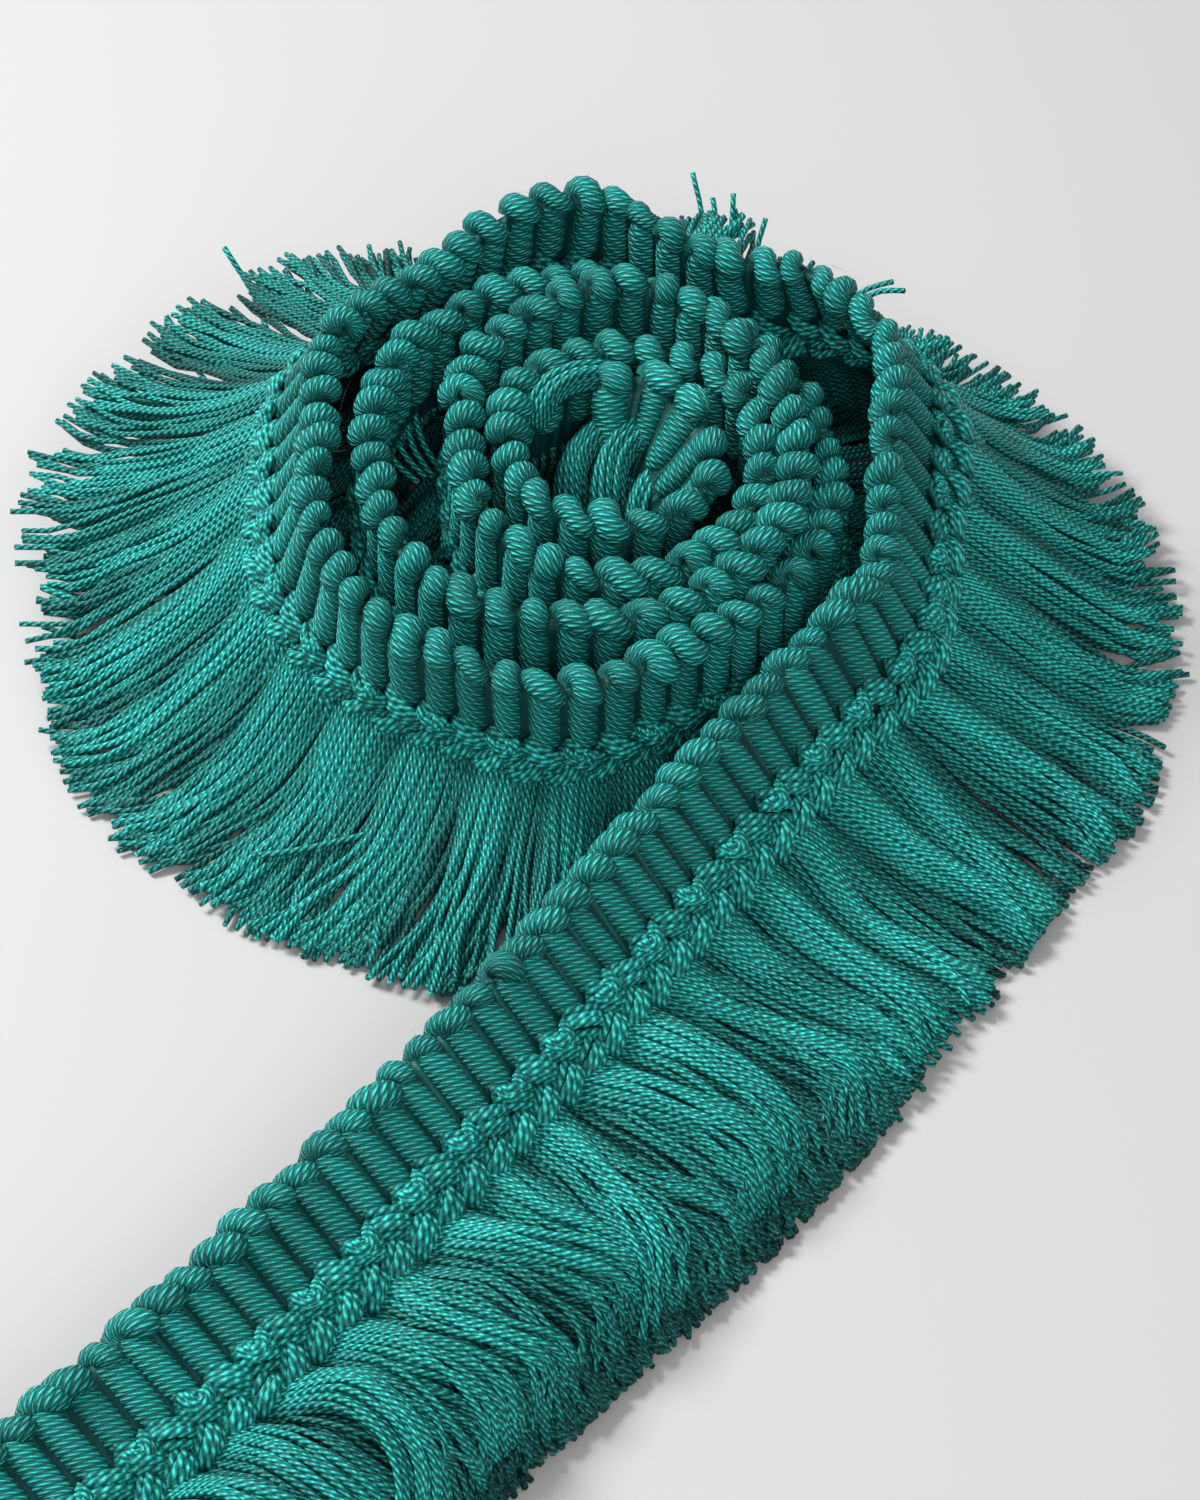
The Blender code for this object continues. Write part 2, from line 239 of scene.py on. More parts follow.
STRAY_YARNS = (
    ((-38.0, 46.0, 7.0), (-44.2, 55.7, 6.5), (-46.8, 60.2, 11.0), (-50.0, 62.5, 16.0)),
    ((-44.0, 40.0, 4.0), (-52.4, 48.5, 4.5), (-54.9, 51.6, 8.0), (-57.3, 54.0, 11.0)),
    ((-46.0, 27.0, 5.0), (-55.7, 31.2, 5.5), (-63.4, 33.6, 7.0), (-67.5, 36.4, 9.0)),
    ((9.0, 52.0, 14.0), (12.0, 60.0, 16.5), (12.6, 64.0, 20.0), (11.6, 66.5, 25.0)),
    ((13.0, 52.0, 13.0), (15.5, 59.0, 15.5), (16.4, 62.5, 19.0), (16.8, 64.5, 23.0)),
    ((17.0, 51.0, 12.0), (19.5, 58.5, 14.0), (20.0, 62.0, 16.5), (21.0, 64.0, 19.5)),
    ((10.5, 52.0, 13.0), (13.4, 59.4, 15.5), (14.6, 62.6, 18.5), (14.0, 65.0, 22.0)),
    ((11.5, 52.0, 13.0), (14.2, 59.0, 15.0), (15.8, 62.0, 17.5), (18.2, 63.5, 20.5)),
    ((15.0, 52.0, 12.0), (17.4, 59.0, 14.5), (17.8, 62.2, 17.0), (17.0, 63.8, 21.0)),
    ((26.0, 50.0, 8.0), (32.5, 58.7, 9.0), (36.2, 59.5, 11.0), (39.5, 58.3, 12.0)),
    ((25.0, 50.0, 8.0), (31.0, 59.5, 8.6), (34.8, 61.0, 10.4), (38.0, 60.4, 11.8)),
    ((-20.5, -34.0, 7.0), (-26.0, -39.5, 5.0), (-33.0, -41.8, 4.2), (-40.0, -42.6, 3.6)),
)
# A little over a full turn, for where a wave starts.
ANY_PHASE = 6.3
# How much of a yarn's twist may have passed before it starts.
WALKED_BEFORE = 9.0
GOLDEN_ANGLE = math.radians(137.5)


def unit(vectors: Array) -> Array:
    """Return vectors of length one in the same directions."""
    return vectors / np.linalg.norm(vectors, axis=-1, keepdims=True)


def smooth_step(share: Array) -> Array:
    """Return a share of 0 to 1 eased at both of its ends."""
    share = np.clip(share, 0.0, 1.0)
    return share * share * (3.0 - 2.0 * share)


def spans_of(lines: Array) -> Array:
    """Return the distances between neighbours, whose first three columns are x, y and z."""
    return np.linalg.norm(np.diff(lines[..., :3], axis=1), axis=-1)


def walked_along(lines: Array) -> Array:
    """Return the length walked from the start of each line to each of its places."""
    return np.concatenate([np.zeros((len(lines), 1)), np.cumsum(spans_of(lines), axis=1)], axis=1)


def neighbours(count: int) -> tuple[Array, Array]:
    """Return the places before and after each of a number of places, held at both ends."""
    index = np.arange(count)
    return np.maximum(index - 1, 0), np.minimum(index + 1, count - 1)


def cubic_through(points: Array, steps: Array | int) -> Array:
    """Return a smooth line through a few points of each row.

    Args:
        points: Rows of shape (rows, stops, columns) that each line goes through.
        steps: How many pieces each stretch between two stops is cut into.

    Returns:
        Rows of shape (rows, all steps + 1, columns).
    """
    spans, reach = spans_of(points), walked_along(points)
    low, high = neighbours(points.shape[1])
    slopes = (points[:, high] - points[:, low]) / (reach[:, high] - reach[:, low])[..., None]
    lines = []
    for stop, count in enumerate(np.broadcast_to(steps, spans.shape[1])):
        share = (np.arange(count) / count)[None, :, None]
        square, cube = share**2, share**3
        span = spans[:, stop, None, None]
        lines.append(
            points[:, stop, None] * (2 * cube - 3 * square + 1)
            + slopes[:, stop, None] * span * (cube - 2 * square + share)
            + points[:, stop + 1, None] * (3 * square - 2 * cube)
            + slopes[:, stop + 1, None] * span * (cube - square)
        )
    lines.append(points[:, -1:])
    return np.concatenate(lines, axis=1)


def evenly(lines: Array, count: int) -> tuple[Array, Array]:
    """Return each line again as a number of evenly spaced places.

    Args:
        lines: Places of shape (rows, places, 3).
        count: How many places each new line has.

    Returns:
        The new places of shape (rows, count, 3) and their lengths along the line.
    """
    reach = walked_along(lines)
    along = reach[:, -1:] * np.linspace(0.0, 1.0, count)[None]
    places = np.empty((len(lines), count, 3))
    for row, (wanted, walked) in enumerate(zip(along, reach)):
        for axis in range(3):
            places[row, :, axis] = np.interp(wanted, walked, lines[row, :, axis])
    return places, along


@dataclass(frozen=True)
class Bands:
    """The trim at many stations: its edge and how it leans and falls at each."""

    edge: Array
    turn: Array
    lean: Array
    reach: Array
    tip: Array
    sag: Array
    brush: Array

    @property
    def outward(self) -> Array:
        """Return the level directions that point out of the roll."""
        angle = np.radians(self.turn)
        return np.stack([-np.sin(angle), -np.cos(angle), np.zeros_like(angle)], axis=-1)

    @property
    def side(self) -> Array:
        """Return the level directions along the trim, towards its loose end."""
        return -np.cross(UP, self.outward)

    @property
    def rise(self) -> Array:
        """Return the directions across the heading, from the fringe to the scallop."""
        lean = np.radians(self.lean)[:, None]
        return UP * np.sin(lean) - self.outward * np.cos(lean)

    @property
    def face(self) -> Array:
        """Return the directions out of the heading's outer face."""
        lean = np.radians(self.lean)[:, None]
        return self.outward * np.sin(lean) + UP * np.cos(lean)

    def point(self, across: Array, relief: Array, along: Array | float = 0.0) -> Array:
        """Return points on or near the heading.

        Args:
            across: Distance from the fringe side, of shape (stations, places).
            relief: Distance out of the outer face from the heading's middle.
            along: Distance along the trim from each station.

        Returns:
            Places of shape (stations, places, 3).
        """
        root = self.edge - self.rise * HEADING_WIDTH
        across, relief, along = np.broadcast_arrays(
            np.asarray(across, float), np.asarray(relief, float), np.asarray(along, float)
        )
        return (
            root[:, None]
            + self.rise[:, None] * across[..., None]
            + self.face[:, None] * relief[..., None]
            + self.side[:, None] * along[..., None]
        )


class Route:
    """The way that the heading's scalloped edge takes, from the roll's heart to its end."""

    def __init__(self) -> None:
        """Read the tables into one smooth line of closely spaced stations."""
        rows = []
        for row in TURNS:
            angle = math.radians(row.turn)
            level = np.array([-math.sin(angle), -math.cos(angle), 0.0])
            edge = ROLL_CENTRE + level * row.radius + UP * row.height
            rows.append([*edge, row.turn, row.lean, row.reach, row.tip, row.sag, WOUND_BRUSH])
        table = np.array([rows + [list(row) for row in TAIL]])
        steps = np.maximum(2, np.rint(spans_of(table)[0] / ROUTE_STEP)).astype(int)
        self.columns = cubic_through(table, steps)[0]
        middle = self._bands(self.columns).point(np.array([[HEADING_WIDTH / 2]]), 0.0)
        self.walked = walked_along(middle[None, :, 0])[0]

    @property
    def length(self) -> float:
        """Return the trim's length along the middle of its heading."""
        return float(self.walked[-1])

    def _bands(self, columns: Array) -> Bands:
        """Return the bands that rows of the table describe."""
        return Bands(columns[:, :3], *(columns[:, index] for index in range(3, 9)))

    def at(self, places: Array) -> Bands:
        """Return the bands at lengths along the trim."""
        columns = [np.interp(places, self.walked, column) for column in self.columns.T]
        return self._bands(np.stack(columns, axis=-1))

    def place_of(self, turn: float) -> float:
        """Return the length along the trim at which it reaches a turn."""
        return float(np.interp(turn, self.columns[:, 3], self.walked))


def put_up(name: str, data: bpy.types.ID) -> bpy.types.Object:
    """Return a new object of some mesh, lamp or camera, linked to the scene."""
    made = bpy.data.objects.new(name, data)
    bpy.context.scene.collection.objects.link(made)
    return made


# The corners of a face: one side over, then one stop on.
FACE_CORNERS = np.array([(0, 0), (1, 0), (1, 1), (0, 1)])


class Tubes:
    """Closed tubes of yarn and cord, collected into one mesh."""

    def __init__(self) -> None:
        """Start with no tubes."""
        self.corners: list[Array] = []
        self.faces: list[list[int]] = []
        self.charts: list[Array] = []
        self.tones: list[Array] = []
        self.count = 0

    def add_rings(self, ring: Array, wound: Array, tone: Array | float = 1.0) -> None:
        """Add closed tubes whose cross-sections are given.

        Args:
            ring: Places of shape (tubes, stops, sides, 3) around each cross-section.
            wound: How many windings have passed at each stop, of shape (tubes, stops).
            tone: How light the yarn is, which spreads to the shape (tubes, stops, sides).
        """
        tubes, stops, sides = ring.shape[:3]
        index = np.arange(tubes * stops * sides).reshape(tubes, stops, sides) + self.count
        after = np.roll(index, -1, axis=2)
        quads = np.stack([index[:, :-1], after[:, :-1], after[:, 1:], index[:, 1:]], axis=-1)
        around = (np.arange(sides)[:, None] + FACE_CORNERS[:, 0]) / sides
        onward = np.stack([wound[:, :-1], wound[:, 1:]], axis=-1)[..., None, FACE_CORNERS[:, 1]]
        chart = np.stack(np.broadcast_arrays(around, onward), axis=-1)
        caps = np.concatenate([index[:, 0, ::-1], index[:, -1]])
        cap_wound = np.repeat(np.concatenate([wound[:, 0], wound[:, -1]]), sides)
        cap_chart = np.stack([np.full_like(cap_wound, 0.5), cap_wound], axis=-1)
        self.corners.append(ring.reshape(-1, 3))
        self.tones.append(np.broadcast_to(tone, ring.shape[:3]).ravel())
        self.faces += quads.reshape(-1, 4).tolist() + caps.tolist()
        self.charts += [chart.reshape(-1, 2), cap_chart]
        self.count += index.size

    def add(
        self, centre: Array, wide: Array, deep: Array, sides: int, wound: Array, tone: Array | float = 1.0
    ) -> None:
        """Add one tube of oval cross-section for each row of places.

        Args:
            centre: Places of shape (tubes, stops, 3) down the middle of each tube.
            wide: Half of the cross-section's width, as vectors of the same shape.
            deep: Half of its depth, as vectors.
            sides: How many corners the cross-section has.
            wound: How many windings have passed at each stop, of shape (tubes, stops).
            tone: How light the yarn is, which spreads to the shape (tubes, stops, sides).
        """
        along = np.gradient(centre, axis=1)
        turned = np.sum(np.cross(wide, deep) * along, axis=-1, keepdims=True) < 0.0
        deep = np.where(turned, -deep, deep)
        angle = 2.0 * np.pi * np.arange(sides) / sides
        ring = (
            centre[:, :, None]
            + wide[:, :, None] * np.cos(angle)[:, None]
            + deep[:, :, None] * np.sin(angle)[:, None]
        )
        self.add_rings(ring, wound, tone)

    def add_yarns(
        self,
        lines: Array,
        along: Array,
        radius: Array | float,
        sides: int,
        hint: Array,
        tone: Array | float = 1.0,
        lay: float = YARN_LAY,
    ) -> None:
        """Add round yarns that follow lines.

        Args:
            lines: Places of shape (yarns, stops, 3).
            along: Lengths along each yarn, of shape (yarns, stops).
            radius: Radius of each yarn at each stop.
            sides: How many corners a cross-section has.
            hint: A direction for each yarn that it never points along.
            tone: How light each yarn is at each stop.
            lay: Length of one full twist of the yarn.
        """
        forward = unit(np.gradient(lines, axis=1))
        wide = unit(np.cross(np.broadcast_to(hint[:, None], lines.shape), forward))
        size = np.broadcast_to(radius, along.shape)[..., None]
        shade = np.broadcast_to(tone, along.shape)[..., None]
        self.add(lines, wide * size, np.cross(forward, wide) * size, sides, along / lay, shade)

    def piece(self, name: str) -> bpy.types.Object:
        """Return everything added so far as one smooth mesh object."""
        corners = (np.concatenate(self.corners) - FOOTPRINT_MIDDLE) * MM
        mesh = bpy.data.meshes.new(name)
        mesh.from_pydata(corners.tolist(), [], self.faces)
        mesh.shade_smooth()
        chart = mesh.uv_layers.new(name="windings")
        chart.uv.foreach_set("vector", np.concatenate(self.charts).astype(np.float32).ravel())
        # The tone attribute carries the painted shade of each yarn and cord.
        tone = mesh.attributes.new("tone", "FLOAT", "POINT")
        tone.data.foreach_set("value", np.concatenate(self.tones).astype(np.float32))
        return put_up(name, mesh)


class Graph:
    """The nodes of one material or world, with short ways to add and join them."""

    def __init__(self, owner: bpy.types.Material | bpy.types.World) -> None:
        """Start from the nodes that a new material or world has."""
        owner.use_nodes = True
        self.tree = owner.node_tree

    def node(self, kind: str, **settings: object) -> bpy.types.Node:
        """Return a new node with some of its properties set."""
        found = self.tree.nodes.new(kind)
        for key, value in settings.items():
            setattr(found, key, value)
        return found

    def feed(self, socket: bpy.types.NodeSocket, value: object) -> None:
        """Lead another socket, a number or a colour into a socket."""
        if isinstance(value, bpy.types.NodeSocket):
            self.tree.links.new(value, socket)
        else:
            socket.default_value = (*value, 1.0) if isinstance(value, tuple) else value

    def feed_all(self, sockets: object, **values: object) -> None:
        """Lead values into sockets by their names, with a low line for each space."""
        for name, value in values.items():
            self.feed(sockets[name.replace("_", " ")], value)

    def maths(self, operation: str, *values: object) -> bpy.types.NodeSocket:
        """Return the result of one sum of sockets or numbers."""
        found = self.node("ShaderNodeMath", operation=operation)
        for socket, value in zip(found.inputs, values):
            self.feed(socket, value)
        return found.outputs[0]

    def mixed(self, share: object, first: object, second: object) -> bpy.types.NodeSocket:
        """Return a colour between two others."""
        found = self.node("ShaderNodeMix", data_type="RGBA")
        for number, value in zip((0, 6, 7), (share, first, second)):
            self.feed(found.inputs[number], value)
        return found.outputs[2]

    def noise(self, place: bpy.types.NodeSocket, scale: float, detail: float) -> bpy.types.NodeSocket:
        """Return soft noise of a scale and a detail over places."""
        found = self.node("ShaderNodeTexNoise")
        self.feed_all(found.inputs, Vector=place, Scale=scale, Detail=detail)
        return found.outputs[0]

    def crests(self, phase: bpy.types.NodeSocket, low: float) -> bpy.types.NodeSocket:
        """Return a wave from low up to 1, with a crest at each whole step of the phase."""
        wave = self.maths("COSINE", self.maths("MULTIPLY", phase, 2.0 * math.pi))
        return self.maths("MULTIPLY_ADD", wave, (1.0 - low) / 2.0, (1.0 + low) / 2.0)


class Pattern(Enum):
    """How the twist of a yarn or the wrapping of a cord crosses its surface."""

    TWISTED = "twisted"
    WRAPPED = "wrapped"


@dataclass(frozen=True)
class YarnFinish:
    """A dyed, softly shining yarn: its colours with painted shade and highlights, its twist and how it takes
    the light.
    """

    name: str
    pattern: Pattern
    strands_around: float = 3.0
    strand_low: float = 0.4
    wrap_low: float = 0.05
    wrap_lay: float = 1.5
    # The hollow colour is painted shade between the plies and wraps; the crest colour and the glint are
    # painted highlights.
    shade: Colour = (0.006, 0.215, 0.196)
    shaded_hollow: Colour = (0.001, 0.045, 0.043)
    crest: Colour = (0.048, 0.625, 0.562)
    fullness: float = 0.7
    glint: float = 1.7
    glint_narrowing: float = 1.8
    darkest: float = 0.58
    change_by_yarn: float = 0.4
    change_by_patch: float = 0.5
    fibre_scale: float = 2600.0
    fibre_detail: float = 3.0
    patch_scale: float = 90.0
    patch_detail: float = 2.0
    roughness: float = 0.5
    roughness_change: float = 0.22
    shine: float = 0.3
    shine_tint: Colour = (0.45, 1.0, 0.93)
    sheen: float = 0.03
    sheen_roughness: float = 0.45
    sheen_tint: Colour = (0.2, 0.85, 0.8)
    relief: float = 0.00022
    relief_strength: float = 0.85
    fibre_relief: float = 0.5

    def _crown(self, graph: Graph) -> bpy.types.NodeSocket:
        """Return how high the surface stands, from 0 in its hollows to 1 on its crests."""
        maths, crests = graph.maths, graph.crests
        parts = graph.node("ShaderNodeSeparateXYZ")
        graph.feed(parts.inputs[0], graph.node("ShaderNodeUVMap", uv_map="windings").outputs[0])
        over, onward = parts.outputs[0], parts.outputs[1]
        if self.pattern is Pattern.TWISTED:
            strand = maths("MULTIPLY", maths("ADD", over, onward), self.strands_around)
            grains = maths("SUBTRACT", maths("MULTIPLY", onward, self.strands_around), over)
            return maths("MULTIPLY", crests(strand, 0.0), crests(grains, self.strand_low))
        lay = maths("MULTIPLY_ADD", over, self.strands_around, maths("MULTIPLY", onward, self.wrap_lay))
        return maths("MULTIPLY", crests(onward, self.wrap_low), crests(lay, self.wrap_low))

    @cache
    def material(self) -> bpy.types.Material:
        """Return the finish as a procedural material, which is made once."""
        made = bpy.data.materials.new(self.name)
        graph = Graph(made)
        maths, crown = graph.maths, self._crown(graph)
        place = graph.node("ShaderNodeTexCoord").outputs["Object"]
        fibre = graph.noise(place, self.fibre_scale, self.fibre_detail)
        patch = graph.noise(place, self.patch_scale, self.patch_detail)
        island = graph.node("ShaderNodeNewGeometry").outputs["Random Per Island"]
        painted = graph.node("ShaderNodeAttribute", attribute_name="tone").outputs["Fac"]
        # Painted shade in the hollows, then painted highlights on the crests.
        depth = graph.mixed(maths("POWER", crown, self.fullness), self.shaded_hollow, self.shade)
        narrow = maths("POWER", crown, self.glint_narrowing)
        lit = maths("MULTIPLY", narrow, maths("MULTIPLY", fibre, self.glint))
        bright = graph.mixed(lit, depth, self.crest)
        by_yarn = maths("MULTIPLY", island, self.change_by_yarn)
        change = maths("MULTIPLY_ADD", patch, self.change_by_patch, by_yarn)
        scaled = graph.node("ShaderNodeVectorMath", operation="SCALE")
        graph.feed(scaled.inputs[0], bright)
        graph.feed(scaled.inputs["Scale"], maths("MULTIPLY", maths("ADD", change, self.darkest), painted))
        smoothest = self.roughness - self.roughness_change / 2.0
        height = maths("MULTIPLY_ADD", fibre, self.fibre_relief, crown)
        bump = graph.node("ShaderNodeBump")
        graph.feed_all(bump.inputs, Strength=self.relief_strength, Distance=self.relief, Height=height)
        graph.feed_all(
            graph.tree.nodes["Principled BSDF"].inputs,
            Base_Color=scaled.outputs[0],
            Roughness=maths("MULTIPLY_ADD", fibre, self.roughness_change, smoothest),
            Normal=bump.outputs[0],
            Specular_IOR_Level=self.shine,
            Specular_Tint=self.shine_tint,
            Sheen_Weight=self.sheen,
            Sheen_Roughness=self.sheen_roughness,
            Sheen_Tint=self.sheen_tint,
        )
        return made


YARN = YarnFinish("fringe_yarn", Pattern.TWISTED)
BINDING = YarnFinish("binding_yarn", Pattern.TWISTED, fullness=0.5)
PADDING = YarnFinish("rib_wrapping", Pattern.WRAPPED, 9.0, relief=0.0004, fullness=0.6)
CORD = YarnFinish("cord_wrapping", Pattern.WRAPPED, 7.0, relief=0.0004, fullness=0.75)
# The woven ground's dark colours are painted shade where the web lies deep between the ribs.
SHADED_GROUND = YarnFinish(
    "shaded_woven_ground", Pattern.WRAPPED, shade=(0.003, 0.075, 0.066), crest=(0.008, 0.13, 0.115)
)


def dress(piece: bpy.types.Object, finish: YarnFinish, slot: str, *nodes: str) -> bpy.types.Object:
    """Give a piece its finish and tie it to the trim's body.

    Args:
        piece: The finished mesh.
        finish: What it is made of.
        slot: The record's material slot that it takes its finish from.
        nodes: The solids that it stands for.

    Returns:
        The same piece.
    """
    piece.data.materials.append(finish.material())
    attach(piece, "root")
    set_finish(piece, slot)
    if nodes:
        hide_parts(*nodes)
    LOG.info("%s: %d faces", piece.name, len(piece.data.polygons))
    return piece


@dataclass
class HeadingWeb:
    """The thin woven ground that carries the ribs, darkened with painted shade where it lies between them."""

    route: Route
    half_thickness: float = 0.6
    top: float = 14.8
    inset: float = 1.4
    step: float = 2.2
    rows: int = 7
    # Painted shade: the whole web is dimmed as it lies in the grooves between the ribs.
    tone: float = 0.4

    def build(self, name: str) -> bpy.types.Object:
        """Return the web as one thin closed sheet along the whole route."""
        stations = round(self.route.length / self.step)
        places = np.linspace(self.inset, self.route.length - self.inset, stations)
        bands = self.route.at(places)
        across = np.tile(np.linspace(0.0, self.top, self.rows), (stations, 1))
        outer = bands.point(across, self.half_thickness)
        inner = bands.point(across[:, ::-1], -self.half_thickness)
        tubes = Tubes()
        tubes.add_rings(np.concatenate([outer, inner], axis=1)[None], places[None] / self.step, self.tone)
        return tubes.piece(name)


ROOM_LIMITS = (RIB_PITCH * 0.36, RIB_PITCH * 0.66)


def half_room(bands: Bands, across: Array) -> Array:
    """Return half of the room that each rib has between its neighbours, at places across it."""
    low, high = neighbours(len(bands.turn))
    middle = bands.point(across, 0.0)
    room = np.linalg.norm(middle[high] - middle[low], axis=-1) / (high - low)[:, None] / 2.0
    return np.clip(room, *ROOM_LIMITS)


def rounded(share: Array, power: int, least: float) -> Array:
    """Return how a cord's radius shrinks at both of its ends, as a share of it."""
    return np.sqrt(np.clip(1.0 - np.abs(2.0 * share - 1.0) ** power, least, 1.0))


def cord_tone(share: Array, sides: int, shadow: float, end_power: int, side_power: int) -> Array:
    """Return tones that darken towards a cord's ends and sides, more closely by each power."""
    beside = np.abs(np.cos(2.0 * np.pi * np.arange(sides) / sides))
    ends = 1.0 - shadow * np.abs(2.0 * share - 1.0) ** end_power
    return ends[:, None] * (1.0 - shadow * beside**side_power)


@dataclass
class HeadingRibs:
    """The fat padded ribs that stand side by side across the heading."""

    route: Route
    rng: Chance
    start: float = 5.1
    end: float = 14.8
    fill: float = 0.93
    half_depth: float = 1.85
    wrap: float = 0.74
    slant: float = 0.345
    ridge: float = 0.14
    shadow: float = 0.5
    sides: int = 12
    uneven_place: float = 0.12
    uneven_size: float = 0.03
    uneven_tilt: float = 0.03

    def places(self) -> Array:
        """Return the lengths along the trim at which its ribs stand."""
        count = int((self.route.length - RIB_PITCH / 4) / RIB_PITCH)
        return RIB_PITCH * (np.arange(count) + 0.5)

    def build(self, places: Array, name: str) -> bpy.types.Object:
        """Return the ribs at some places as one piece."""
        bands = self.route.at(places)
        ribs = len(places)
        stops = 2 * round((self.end - self.start) / self.wrap) + 1
        share = np.linspace(0.0, 1.0, stops)
        across = np.tile(self.start + (self.end - self.start) * share, (ribs, 1))
        across = across + self.rng.normal(0.0, self.uneven_place, (ribs, 1))
        rounding = rounded(share, 6, 0.12) * self.rng.normal(1.0, self.uneven_size, (ribs, 1))
        valley = self.ridge * (np.arange(stops) % 2)
        tilt = self.rng.normal(0.0, self.uneven_tilt, (ribs, 1)) * (across - self.start)
        half_width = half_room(bands, across) * self.fill * rounding - valley
        half_depth = self.half_depth * rounding - valley
        wide = (bands.side + bands.rise * self.slant)[:, None] * half_width[..., None]
        deep = bands.face[:, None] * half_depth[..., None]
        tone = cord_tone(share, self.sides, self.shadow, 8, 2)
        windings = np.tile(np.arange(stops) / 2.0, (ribs, 1))
        tubes = Tubes()
        tubes.add(bands.point(across, 0.0, tilt), wide, deep, self.sides, windings, tone)
        return tubes.piece(name)


@dataclass
class ScallopCord:
    """The fat cord that coils once over the edge above each rib."""

    route: Route
    rng: Chance
    middle: float = 14.4
    coil: float = 0.95
    radius: float = 1.6
    advance: float = 3.3
    first: float = -50.0
    last: float = 230.0
    wraps: int = 15
    slant: float = 0.4
    shadow: float = 0.45
    sides: int = 10
    lump: float = 0.1
    lump_waves: float = 11.0
    width_limits: tuple[float, float] = (0.8, 1.3)
    uneven_size: float = 0.08
    uneven_across: float = 0.15
    uneven_relief: float = 0.12
    uneven_advance: float = 0.3
    uneven_along: float = 0.25
    uneven_turn: float = 0.45

    def _uneven(self, count: int, middle: float, spread: float) -> Array:
        """Return one chance value for each bobble."""
        return self.rng.normal(middle, spread, (count, 1))

    def build(self, places: Array, name: str) -> bpy.types.Object:
        """Return the bobbles above the ribs at some places as one piece."""
        bands = self.route.at(places)
        count = len(places)
        stops = self.wraps + 1
        share = np.linspace(0.0, 1.0, stops)
        turn = np.radians(self.first + (self.last - self.first) * share)
        room = half_room(bands, np.full((count, 1), self.middle)) / (RIB_PITCH / 2.0)
        size = self._uneven(count, 1.0, self.uneven_size)
        across = self.middle + self.coil * size * np.sin(turn) + self._uneven(count, 0.0, self.uneven_across)
        relief = self.coil * size * np.cos(turn) + self._uneven(count, 0.0, self.uneven_relief)
        advance = self.advance * self._uneven(count, 1.0, self.uneven_advance)
        along = advance * (share - 0.5) + self._uneven(count, 0.0, self.uneven_along)
        along = along + self._uneven(count, 0.0, self.uneven_turn) * np.sin(turn)
        centre = bands.point(across, relief, along)
        forward = unit(np.gradient(centre, axis=1))
        beside = np.broadcast_to(bands.side[:, None], forward.shape)
        broad = unit(beside - forward * np.sum(beside * forward, axis=-1, keepdims=True))
        start = self.rng.uniform(0.0, ANY_PHASE, (count, 1))
        lumps = 1.0 + self.lump * np.sin(self.lump_waves * share + start)
        radius = self.radius * size * rounded(share, 5, 0.2) * lumps
        wide = (broad + forward * self.slant) * (radius * np.clip(room, *self.width_limits))[..., None]
        deep = np.cross(forward, broad) * radius[..., None]
        tone = cord_tone(share, self.sides, self.shadow, 4, 4)
        windings = np.arange(stops) + self.rng.uniform(0.0, 1.0, (count, 1))
        tubes = Tubes()
        tubes.add(centre, wide, deep, self.sides, windings, tone)
        return tubes.piece(name)


@dataclass(frozen=True)
class BundleRow:
    """A row of short slanting bundles of yarn, which binds the heading to its fringe."""

    across: float
    slant: float
    length: float
    relief: float
    crown: float
    yarns: int = 4
    radius: float = 0.55
    gauge: float = 0.78
    shift: float = 0.0
    outer: bool = True
    stops: int = 7
    uneven_slant: float = 7.0
    uneven_place: float = 0.1

    def add_to(self, tubes: Tubes, bands: Bands, rng: Chance) -> None:
        """Add one bundle at each band, with small differences by chance."""
        share = np.linspace(0.0, 1.0, self.stops)
        arc = np.sin(np.pi * share)
        run = self.length * (share - 0.5)
        angle = np.radians(self.slant + rng.normal(0.0, self.uneven_slant, (len(bands.turn), 1)))
        for number in range(self.yarns):
            beside = (number - (self.yarns - 1) / 2.0) * self.gauge
            along = run * np.cos(angle) - beside * np.sin(angle) + self.shift
            across = self.across + run * np.sin(angle) + beside * np.cos(angle)
            dome = math.cos(beside / (self.gauge * self.yarns) * math.pi * 0.9)
            relief = (self.relief + self.crown * arc * dome) * (1.0 if self.outer else -1.0)
            jitter = rng.normal(0.0, self.uneven_place, (len(bands.turn), 1))
            lines = bands.point(across + jitter, relief + jitter, along)
            walked = np.tile(self.length * share, (len(lines), 1))
            # Painted shade towards each bundle's sides and ends.
            tone = (0.62 + 0.38 * dome) * (0.55 + 0.45 * arc**0.6)
            tubes.add_yarns(lines, walked, self.radius, 5, bands.face, tone)


